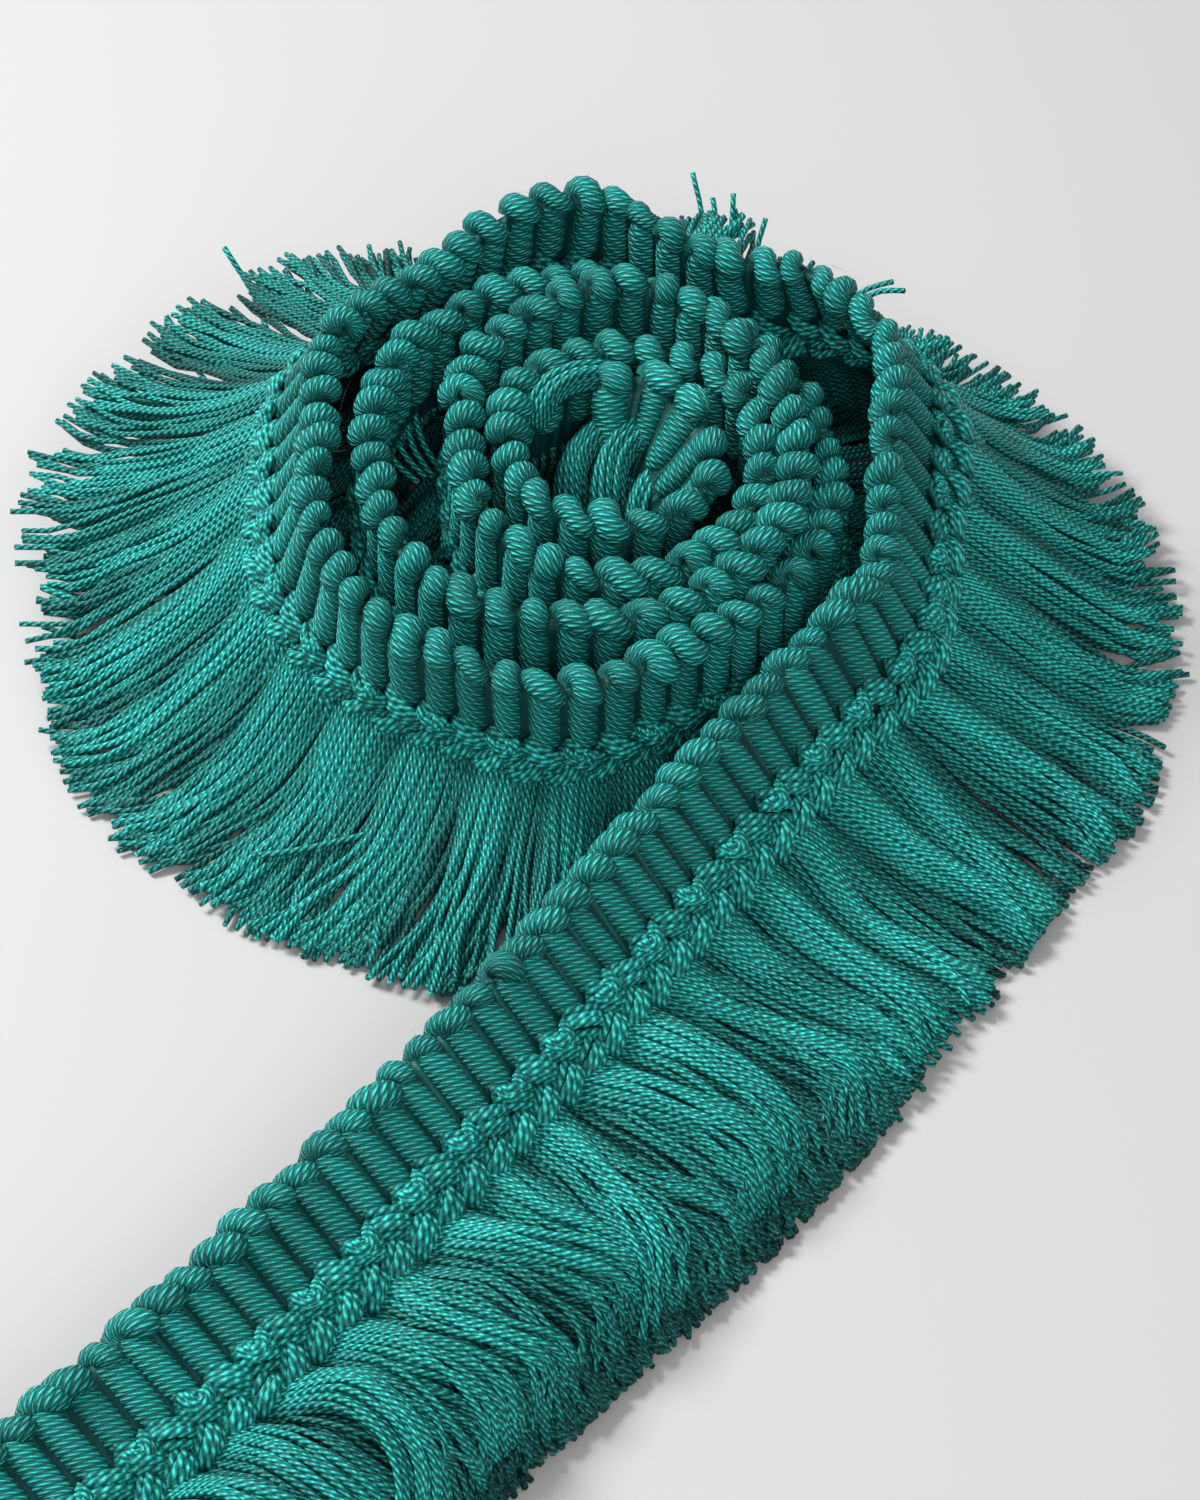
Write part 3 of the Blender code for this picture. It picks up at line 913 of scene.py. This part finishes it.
@dataclass
class KnotLoops:
    """The small curls of yarn at the foot of every second rib."""

    across: float = 5.8
    relief: float = 1.75
    curl: float = 1.12
    yarns: int = 3
    radius: float = 0.48
    gap: float = 0.49
    first: float = -20.0
    uneven_first: float = 12.0
    curled: float = 235.0
    dome: float = 0.35
    swell: float = 0.3
    stops: int = 11

    def add_to(self, tubes: Tubes, bands: Bands, rng: Chance) -> None:
        """Add one curl at each band, with small differences by chance."""
        share = np.linspace(0.0, 1.0, self.stops)
        first = rng.normal(self.first, self.uneven_first, (len(bands.turn), 1))
        turn = np.radians(first + self.curled * share)
        for number in range(self.yarns):
            ring = self.curl + (number - 1) * self.gap
            lift = self.relief + self.dome * math.cos((number - 1) * 1.2) + self.swell * np.sin(np.pi * share)
            lines = bands.point(self.across - ring * np.sin(turn), lift, ring * np.cos(turn))
            walked = np.tile(ring * math.radians(self.curled) * share, (len(lines), 1))
            tubes.add_yarns(lines, walked, self.radius, 5, bands.face)


@dataclass(frozen=True)
class Strands:
    """What sets each yarn of a layer apart, with one value for each yarn."""

    place: Array
    middle: Array
    beside: Array
    crown: Array
    clump: Array
    fan: Array
    swing: Array
    bend: Array
    heave: Array
    ends: Array


class Layer(NamedTuple):
    """Some layers of yarns that share their bunches.

    depths says how deep each lies, from 0 on top to 1 at the bottom, spread how far a bunch
    swings to one side, ragged how much the yarns differ in length, as a share, and lift how
    much the bunches differ in height.
    """

    depths: tuple[float, ...]
    per_bunch: int
    spread: float
    ragged: float
    lift: float = 0.3


# How much of each sideways move shows at the three stops of a yarn's fall, with a row each for
# swing, bend, gathering, clumping, straying and sweep.
SIDEWAYS = np.array(
    [
        (0.28, 0.8, 1.0),
        (0.9, 0.6, 0.0),
        (-0.6, -1.0, -0.9),
        (0.0, 0.3, 0.8),
        (0.3, 0.9, 1.0),
        (-0.5, -0.9, -0.2),
    ]
)
CLUMPS = (2, 5)
FANNING = (0.45, 0.95)
BEND_SHARE = 0.6
YARN_RAGGED = 0.8
LENGTH_LIMITS = (0.82, 1.06)
# Where the yarns leave the heading, from its fringe side, and how they step down with depth.
HIDDEN_ACROSS, HIDDEN_RELIEF = 2.4, 0.35
SHOULDER_ACROSS, SHOULDER_CROWN = -0.6, 1.1
BULGE, BULGE_CROWN = -0.1, 1.45
START_ACROSS = -1.8
DEPTH_STEP = 1.3
# Yarns with little reach for their height stand, those with more lie on the floor.
LIES_FROM, LIES_WITHIN = 0.38, 0.24
STANDING_ARCH = 2.2
WAVE_PACE = (0.14, 0.42)
CURL, CURL_FROM = 0.8, 0.68
RIPPLE, RIPPLE_PACE = 0.12, 0.5
TIP_SIZES = (1.08, 0.98)
# Painted shade and light: a bunch is darker at its sides and lighter on its crown.
TONE_BESIDE, TONE_CROWN = 0.38, 0.7


@dataclass
class Fringe:
    """Bunches of twisted yarns that leave the heading's foot and fall to the floor."""

    route: Route
    rng: Chance
    bunch: float = 2 * RIB_PITCH
    radius: float = 0.365
    sides: int = 6
    stops: int = 16
    gather: float = 0.2
    bulk: float = 1.6
    waviness: float = 0.3
    hump: float = 0.0
    bent: float = 0.0
    drop: float = 0.0
    sweep: float = 0.0
    stray: float = 0.55
    trim: float = 1.0
    # Painted shade: level dims a whole stretch, dusk darkens the deeper layers and corner_dusk the skirt's
    # back left.
    level: float = 1.0
    dusk: float = 0.5
    corner_dusk: float = 0.35
    falls: tuple[Fall, ...] = ()
    shown_from: float = 0.0
    tubes: Tubes = field(default_factory=Tubes)

    @property
    def lowest(self) -> float:
        """Return the height at which a yarn lies on the floor."""
        return 1.2 * self.radius + 0.05

    def lay(self, start: float, end: float, *layers: Layer) -> None:
        """Add layers of yarns over a stretch of the trim.

        Args:
            start: Where the stretch starts along the trim.
            end: Where it ends.
            layers: What they are like.
        """
        for layer in layers:
            self._bunches(start, end, layer)

    def _bunches(self, start: float, end: float, layer: Layer) -> None:
        """Add the bunches of some layers over a stretch of the trim."""
        rng = self.rng
        bunches = max(1, round((end - start) / self.bunch))
        pitch = (end - start) / bunches
        number = np.repeat(np.arange(bunches), layer.per_bunch)
        offset = 0.0 if layer.depths[0] == 0.0 else rng.uniform(-0.5, 0.5) * pitch
        clumps = rng.integers(*CLUMPS, bunches)[number]
        trimmed = rng.normal(1.0, layer.ragged, bunches)[number]
        fan = rng.uniform(*FANNING, bunches)[number]
        swing = rng.normal(0.0, layer.spread, bunches)[number]
        bend = rng.normal(0.0, layer.spread * BEND_SHARE, bunches)[number]
        heave = rng.normal(0.0, layer.lift, bunches)[number]
        for row, depth in enumerate(layer.depths):
            stagger = 0.25 + 0.5 * (row % 2)
            within = np.tile((np.arange(layer.per_bunch) + stagger) / layer.per_bunch, bunches)
            cut = trimmed + rng.normal(0.0, layer.ragged * YARN_RAGGED, len(number))
            strands = Strands(
                place=np.clip(start + (number + within) * pitch + offset, start, end),
                middle=np.clip(start + (number + 0.5) * pitch + offset, start, end),
                beside=(within - 0.5) * pitch,
                crown=np.sqrt(np.clip(1.0 - (2.0 * within - 1.0) ** 2, 0.0, 1.0)),
                clump=((np.floor(within * clumps) + 0.5) / clumps - within) * pitch,
                fan=fan,
                swing=swing,
                bend=bend,
                heave=heave,
                ends=np.clip(cut, *LENGTH_LIMITS),
            )
            self._yarns(strands, depth)

    def _lateral(self, strands: Strands) -> Array:
        """Return how far each yarn lies to one side at the three stops of its fall."""
        strays = self.rng.normal(0.0, self.stray, len(strands.place))
        gathered = strands.beside * self.gather
        swept = np.full(len(strays), self.sweep)
        ways = (strands.swing, strands.bend, gathered, strands.clump, strays, swept)
        return np.stack(ways, axis=1) @ SIDEWAYS

    def _heights(self, strands: Strands, depth: float, start: Array, fall: Bands) -> tuple[Array, Array]:
        """Return the runs and heights of the three stops of each yarn's fall.

        Args:
            strands: The yarns.
            depth: How deep the layer lies.
            start: The places at which the yarns leave the heading.
            fall: The trim at each yarn.

        Returns:
            The runs out from the heading and the heights, each of shape (yarns, 3).
        """
        rng, count, low, top = self.rng, len(strands.place), self.lowest, 1.0 - depth
        reach, tip, sag = fall.reach, np.maximum(fall.tip, 0.0), fall.sag
        if self.falls:
            turn, *ways = zip(*self.falls)
            reach, tip, sag = (np.interp(fall.turn, turn, way) for way in ways)
        steepness = reach / np.maximum(start[:, 2], 1.0)
        lying = smooth_step((steepness - LIES_FROM) / LIES_WITHIN)[:, None]
        brush = (fall.brush - 2 * low) * top
        sunk = ((WOUND_BRUSH + fall.brush) / 2 - 2 * low) * depth
        dome = self.bulk * (strands.crown - 0.75) * top + rng.choice((-0.2, 0.2), count)
        lie_z = np.stack(
            [
                start[:, 2] - sag - low - sunk + strands.heave + dome + self.hump * top,
                tip + low + brush + 0.6 * strands.heave + 0.8 * dome + self.hump * top,
                tip + low + brush * (0.92 - self.drop) + rng.normal(0.0, 0.2, count),
            ],
            axis=1,
        )
        shortened = self.trim * strands.ends * (1.0 - 0.03 * self.bent)
        shares = (0.36 * self.trim, (0.8 + 0.07 * self.bent) * self.trim, shortened)
        lie_run = np.stack([reach * share for share in shares], axis=1)
        arch = top * STANDING_ARCH
        stand_z = np.stack([start[:, 2] * 0.72, start[:, 2] * 0.34, np.full(count, low)], axis=1)
        stand_run = np.stack([reach * 0.35 + arch, reach * 0.72 + arch * 0.6, reach - depth * 0.8], axis=1)
        height = np.maximum(stand_z * (1.0 - lying) + lie_z * lying, low)
        return stand_run * (1.0 - lying) + lie_run * lying, height

    def _yarns(self, strands: Strands, depth: float) -> None:
        """Add the yarns of one layer, which lies at a depth of 0 on top to 1 at the bottom."""
        rng, count, crown = self.rng, len(strands.place), strands.crown
        root = self.route.at(strands.place)
        aim = self.route.at(strands.middle + (strands.place - strands.middle) * strands.fan)
        sunk = DEPTH_STEP * depth
        hidden = root.point(np.full((count, 1), HIDDEN_ACROSS), HIDDEN_RELIEF - sunk)
        bulge = BULGE + BULGE_CROWN * crown * (1.0 - depth) - sunk
        shoulder = root.point((SHOULDER_ACROSS + SHOULDER_CROWN * crown)[:, None], bulge[:, None])
        start = root.point(np.full((count, 1), START_ACROSS), 0.0)[:, 0]
        run, height = self._heights(strands, depth, start, root)
        falls = (
            (start * np.array([1.0, 1.0, 0.0]))[:, None]
            + aim.outward[:, None] * run[..., None]
            + aim.side[:, None] * self._lateral(strands)[..., None]
            + UP * height[..., None]
        )
        lines, along = evenly(cubic_through(np.concatenate([hidden, shoulder, falls], axis=1), 8), self.stops)
        skipped = int(self.shown_from * self.stops)
        lines, along = lines[:, skipped:], along[:, skipped:]
        share = along / along[:, -1:]
        wave = np.sin(along * rng.uniform(*WAVE_PACE, (count, 1)) + rng.uniform(0.0, ANY_PHASE, (count, 1)))
        end = smooth_step((share - CURL_FROM) / (1.0 - CURL_FROM)) ** 1.5
        curl = rng.normal(0.0, CURL, (count, 1)) * end
        lines = lines + aim.side[:, None] * (wave * self.waviness * share + curl)[..., None]
        ripple = np.sin(along * RIPPLE_PACE + rng.uniform(0.0, ANY_PHASE, (count, 1)))
        lines[..., 2] = np.maximum(lines[..., 2] + ripple * RIPPLE * share, self.lowest)
        radius = np.tile(self.radius * rng.normal(1.0, 0.06, (count, 1)), (1, lines.shape[1]))
        radius[:, -2:] *= TIP_SIZES
        walked = along + rng.uniform(0.0, WALKED_BEFORE, (count, 1))
        # Painted shade at the skirt's back left, towards each bunch's sides and in the deeper layers.
        shade = 1.0 - self.corner_dusk * np.exp(-(((root.turn - DUSKY_TURN) / DUSKY_SPREAD) ** 2))
        tone = self.level * shade * (TONE_BESIDE + TONE_CROWN * crown**2) * (1.0 - self.dusk * depth)
        self.tubes.add_yarns(lines, walked, radius, self.sides, aim.side, tone[:, None])


@dataclass
class Bunch:
    """One round bunch of yarns that follows a line of its own."""

    line: tuple[Point, ...]
    width: float = 4.6
    yarns: int = 26
    radius: float = 0.375
    stops: int = 12
    wave: float = 0.15
    wave_pace: tuple[float, float] = (0.2, 0.5)
    waist: float = 0.72
    side_shadow: float = 0.6

    def add_to(self, tubes: Tubes, rng: Chance) -> None:
        """Add the bunch's yarns, evenly spread over its round section."""
        middle, along = evenly(cubic_through(np.array([self.line], float), 8), self.stops)
        forward = unit(np.gradient(middle, axis=1))[0]
        wide = unit(np.cross(forward, UP + np.array([0.01, 0.0, 0.0])))
        deep = np.cross(forward, wide)
        number = np.arange(self.yarns)
        off = np.sqrt((number + 0.5) / self.yarns) * self.width / 2.0
        angle = number * GOLDEN_ANGLE
        swell = self.waist + (1.0 - self.waist) * np.sin(np.pi * np.linspace(0.1, 0.9, self.stops))
        lines = (
            middle
            + wide * (off * np.cos(angle))[:, None, None] * swell[:, None]
            + deep * (off * np.sin(angle))[:, None, None] * swell[:, None]
        )
        pace = rng.uniform(*self.wave_pace, (self.yarns, 1))
        wave = np.sin(along * pace + rng.uniform(0.0, ANY_PHASE, (self.yarns, 1)))
        lines = lines + wide * (wave * self.wave)[..., None]
        lines[..., 2] = np.maximum(lines[..., 2], self.radius)
        walked = along + rng.uniform(0.0, WALKED_BEFORE, (self.yarns, 1))
        hint = np.tile(wide.mean(axis=0), (self.yarns, 1))
        beside = 2.0 * off * np.cos(angle) / max(self.width, 1.0)
        tone = (1.0 - self.side_shadow * beside**2)[:, None]
        tubes.add_yarns(lines, walked, self.radius, 6, hint, tone)


@dataclass
class LooseFibres:
    """The fine fuzz of fibre ends that stands off the heading."""

    route: Route
    rng: Chance
    count: int = 1000
    radius: float = 0.022
    longest: float = 2.3
    shortest: float = 0.3
    rising: float = 0.6
    bending: float = 0.6
    lowest: float = 0.1
    tapering: tuple[float, ...] = (1.0, 1.0, 0.9, 0.7, 0.4)

    def build(self, name: str) -> bpy.types.Object:
        """Return the fuzz as one piece of very thin curved fibres."""
        rng, count = self.rng, self.count
        bands = self.route.at(rng.uniform(2.0, self.route.length - 2.0, count))
        across = rng.uniform(0.5, HEADING_WIDTH - 0.4, (count, 1))
        relief = rng.choice((-1.0, 1.0, 1.0), (count, 1)) * rng.uniform(1.2, 1.9, (count, 1))
        way = unit(rng.normal(0.0, 1.0, (count, 1, 3)) + bands.rise[:, None] * self.rising)
        bend = unit(rng.normal(0.0, 1.0, (count, 1, 3)))
        share = np.linspace(0.0, 1.0, len(self.tapering))
        part = share[None, :, None]
        length = rng.uniform(self.shortest, 1.0, (count, 1, 1)) ** 1.5 * self.longest
        lines = bands.point(across, relief) + length * (way * part + bend * self.bending * part**2)
        lines[..., 2] = np.maximum(lines[..., 2], self.lowest)
        walked = np.tile(share, (count, 1))
        radius = self.radius * np.array(self.tapering)
        tubes = Tubes()
        tubes.add_yarns(lines, walked, radius, 3, np.cross(way[:, 0], bend[:, 0]), lay=1.0)
        return tubes.piece(name)


class Lamp(NamedTuple):
    """A soft square lamp: where it hangs, how wide it is and its power in watts."""

    name: str
    place: Point
    size: float
    power: float


@dataclass
class Studio:
    """The plain pale floor, the soft light and the photograph's camera, all in metres."""

    camera_place: Point = (-0.00008, -0.37474, 0.35427)
    camera_tilt: float = 49.0
    lens: float = 108.0
    seen_between: tuple[float, float] = (0.01, 20.0)
    floor_half: float = 2.0
    floor_drop: float = 0.0001
    floor_shade: float = 0.35
    floor_roughness: float = 0.75
    sky: Colour = (1.0, 0.985, 0.992)
    sky_strength: float = 0.55
    lit_place: Point = (0.0, 0.02, 0.02)
    lamps: tuple[Lamp, ...] = (
        Lamp("key", (-0.55, 0.25, 0.66), 0.34, 14.2),
        Lamp("front", (0.12, -0.8, 0.62), 0.45, 6.4),
    )

    def build(self) -> None:
        """Put up the floor, the light and the camera."""
        self._floor()
        self._light()
        self._camera()

    def _floor(self) -> None:
        """Lay the plain pale floor."""
        half = self.floor_half
        mesh = bpy.data.meshes.new("floor")
        corners = [(-half, -half, 0.0), (half, -half, 0.0), (half, half, 0.0), (-half, half, 0.0)]
        mesh.from_pydata(corners, [], [(0, 1, 2, 3)])
        material = bpy.data.materials.new("floor_paper")
        graph = Graph(material)
        shader = graph.tree.nodes["Principled BSDF"].inputs
        graph.feed_all(shader, Base_Color=(self.floor_shade,) * 3, Roughness=self.floor_roughness)
        mesh.materials.append(material)
        floor = put_up("floor", mesh)
        floor.location.z = -self.floor_drop
        floor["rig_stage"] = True

    def _light(self) -> None:
        """Hang a large soft lamp at the upper left and another in front, under a pale sky."""
        world = bpy.data.worlds.new("studio")
        bpy.context.scene.world = world
        graph = Graph(world)
        graph.feed_all(graph.tree.nodes["Background"].inputs, Color=self.sky, Strength=self.sky_strength)
        for name, place, size, power in self.lamps:
            lamp = bpy.data.lights.new(name, "AREA")
            lamp.size = size
            lamp.energy = power
            hung = put_up(name, lamp)
            hung.location = place
            aim = np.array(self.lit_place) - np.array(place)
            tilt = math.atan2(math.hypot(aim[0], aim[1]), -aim[2])
            hung.rotation_euler = (tilt, 0.0, math.atan2(-aim[0], aim[1]))

    def _camera(self) -> None:
        """Stand the camera where the photograph was taken from."""
        camera = bpy.data.cameras.new("camera")
        camera.lens = self.lens
        camera.clip_start, camera.clip_end = self.seen_between
        stand = put_up("camera", camera)
        stand.location = self.camera_place
        stand.rotation_euler = (math.radians(self.camera_tilt), 0.0, 0.0)
        bpy.context.scene.camera = stand
        bpy.context.scene.view_settings.view_transform = "Standard"


@dataclass
class Heading:
    """The gimp heading: its web, ribs and scalloped edge, and the yarns that bind its foot."""

    route: Route
    rng: Chance
    rows: tuple[BundleRow, ...] = (
        BundleRow(across=4.6, slant=32.0, length=5.3, relief=1.0, crown=1.4),
        BundleRow(across=1.5, slant=-26.0, length=5.2, relief=0.9, crown=1.6, shift=RIB_PITCH / 2),
    )

    def build(self) -> bpy.types.Object:
        """Build and dress every piece of the heading, and return its web."""
        web = dress(HeadingWeb(self.route).build("heading_web"), SHADED_GROUND, "heading_yarn", "heading")
        ribs = HeadingRibs(self.route, self.rng)
        places = ribs.places()
        dress(ribs.build(places, "heading_ribs"), PADDING, "heading_yarn")
        scallop = ScallopCord(self.route, self.rng)
        dress(scallop.build(places, "scallop_cord"), CORD, "heading_yarn")
        dress(self._binding(places).piece("binding_yarns"), BINDING, "heading_yarn")
        return web

    def _binding(self, places: Array) -> Tubes:
        """Return the binding yarns, also behind the heading where its back shows."""
        tubes = Tubes()
        bands = self.route.at(places)
        for row in self.rows:
            row.add_to(tubes, bands, self.rng)
        KnotLoops().add_to(tubes, self.route.at(places[::2]), self.rng)
        seen = np.zeros(len(places), bool)
        for first, last in SEEN_INSIDE:
            seen |= (bands.turn > first) & (bands.turn < last)
        inside = self.route.at(places[seen])
        for row in self.rows:
            behind = replace(row, slant=-row.slant, yarns=3, gauge=0.8, outer=False)
            behind.add_to(tubes, inside, self.rng)
        return tubes


@dataclass
class RollFringe:
    """The fringe of the wound part, in three pieces."""

    route: Route
    rng: Chance

    def _single_yarns(self, tubes: Tubes, lines: tuple) -> None:
        """Add one yarn along each line."""
        for line in lines:
            Bunch(line, width=0.1, yarns=1).add_to(tubes, self.rng)

    def inner(self) -> bpy.types.Object:
        """Build and dress the fringe of the inner turns and of the roll's heart."""
        fringe = Fringe(self.route, self.rng, sides=5, stops=12, falls=INNER_FALLS)
        skirt = self.route.place_of(SKIRT_STARTS)
        fringe.lay(0.0, skirt, Layer((0.0,), 12, 0.7, 0.04), Layer((0.8,), 6, 0.7, 0.04))
        gaps = replace(fringe, falls=CURTAIN_FALLS)
        gaps.lay(*map(self.route.place_of, INNER_GAPS), Layer((0.6,), 8, 1.2, 0.05))
        Bunch(FOLDED_END, width=3.9, yarns=20).add_to(fringe.tubes, self.rng)
        for line, width in HEART_BUNCHES:
            Bunch(line, width).add_to(fringe.tubes, self.rng)
        self._single_yarns(fringe.tubes, ARCHING_YARNS)
        return dress(fringe.tubes.piece("fringe_inner"), YARN, "fringe_yarn")

    def skirt(self) -> bpy.types.Object:
        """Build and dress the skirt and its stray yarns."""
        ends = (self.route.place_of(SKIRT_STARTS), self.route.place_of(TAIL_STARTS))
        top = Fringe(self.route, self.rng, gather=0.36, bulk=2.8, waviness=0.7)
        top.lay(*ends, Layer((0.0,), 12, 2.3, 0.04, 0.4))
        middle = replace(top, sides=5, stops=12)
        middle.lay(*ends, Layer((0.25,), 12, 1.9, 0.04), Layer((0.6,), 12, 1.9, 0.045))
        bottom = replace(top, radius=0.5, sides=4, stops=9, gather=0.0, trim=0.94)
        bottom.lay(*ends, Layer((1.0,), 14, 0.8, 0.04))
        self._single_yarns(top.tubes, STRAY_YARNS)
        return dress(top.tubes.piece("fringe_skirt"), YARN, "fringe_yarn", "fringe_roll")

    def curtain(self) -> bpy.types.Object:
        """Build and dress the steep hidden yarns that shut off the outer gaps."""
        steep = Fringe(
            self.route, self.rng, radius=0.5, sides=4, stops=9, gather=0.0, waviness=0.55, falls=CURTAIN_FALLS
        )
        steep.lay(*map(self.route.place_of, OUTER_GAPS), Layer((0.1, 0.4, 0.7, 1.0), 10, 0.6, 0.05))
        return dress(steep.tubes.piece("fringe_curtain"), YARN, "fringe_yarn")


@dataclass
class LooseEndFringe:
    """The fringe of the loose end, which is humped and swept towards its cut end."""

    route: Route
    rng: Chance
    overlap: float = 8.0

    def upper(self) -> bpy.types.Object:
        """Build and dress the layers that show."""
        end = self.route.length
        parting, humped = self.route.place_of(TAIL_STARTS), self.route.place_of(HUMP_STARTS)
        combed = Fringe(
            self.route, self.rng, gather=0.4, bulk=4.2, sweep=1.5, waviness=0.6, drop=0.3, bent=0.6, hump=0.8
        )
        combed.lay(parting, humped, Layer((0.0, 0.18), 12, 2.3, 0.04, 0.8))
        swept = replace(
            combed, sweep=3.0, waviness=0.9, hump=2.0, drop=0.5, bent=1.0, level=0.95, stray=1.1, trim=0.86
        )
        swept.lay(humped, end, Layer((0.0, 0.12), 12, 3.4, 0.085, 1.1))
        padded = replace(swept, sides=5, stops=13, gather=0.0, dusk=0.9, stray=0.55)
        for depth, trim in ((0.3, 0.9), (0.5, 0.95)):
            layer = Layer((depth,), 12, 2.0, 0.06, 0.5)
            replace(padded, trim=trim).lay(humped - self.overlap, end, layer)
        lower = replace(padded, sweep=0.8, drop=0.2, bent=0.5, waviness=0.4, hump=0.0, level=1.0, trim=1.0)
        lower.lay(parting, humped, *(Layer((depth,), 11, 1.4, 0.04) for depth in (0.4, 0.7, 1.0)))
        return dress(combed.tubes.piece("fringe_loose_end"), YARN, "fringe_yarn", "fringe_tail")

    def under(self) -> bpy.types.Object:
        """Build and dress the layers of the cut face, dark with painted shade, and the full length ones
        below.
        """
        end, humped = self.route.length, self.route.place_of(HUMP_STARTS)
        ends = Fringe(self.route, self.rng, sides=5, stops=13, gather=0.0, bulk=3.0, waviness=0.4, dusk=0.8)
        # Painted shade: level and dusk dim the cut face's layers.
        ends = replace(ends, level=0.55, sweep=2.0, drop=0.35, bent=1.0, shown_from=0.45)
        depths = (0.6, 0.68, 0.76, 0.84, 0.92, 1.0)
        ends.lay(humped, end, *(Layer((depth,), 11, 1.6, 0.04, 0.4) for depth in depths))
        full = replace(ends, shown_from=0.0, sides=4, stops=9, radius=0.5)
        full.lay(humped - self.overlap, end, Layer((0.75,), 14, 0.6, 0.04, 0.1))
        return dress(ends.tubes.piece("loose_end_under"), YARN, "fringe_yarn")


def main() -> None:
    """Build the trim on its frame, piece by piece."""
    logging.basicConfig(level=logging.INFO, format="%(name)s: %(message)s")
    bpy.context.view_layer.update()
    rng = np.random.default_rng(RANDOM_SEED)
    route = Route()
    LOG.info("trim length %.1f mm", route.length)
    Studio().build()

    web = Heading(route, rng).build()
    roll = RollFringe(route, rng)
    inner_piece = roll.inner()
    skirt_piece = roll.skirt()
    curtain_piece = roll.curtain()
    loose_end = LooseEndFringe(route, rng)
    upper_piece = loose_end.upper()
    under_piece = loose_end.under()
    dress(LooseFibres(route, rng).build("loose_fibres"), YARN, "heading_yarn")

    total = sum(sum(len(p.vertices) - 2 for p in o.data.polygons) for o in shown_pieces())
    LOG.info("triangles in all: %d", total)


if __name__ == "__main__":
    main()
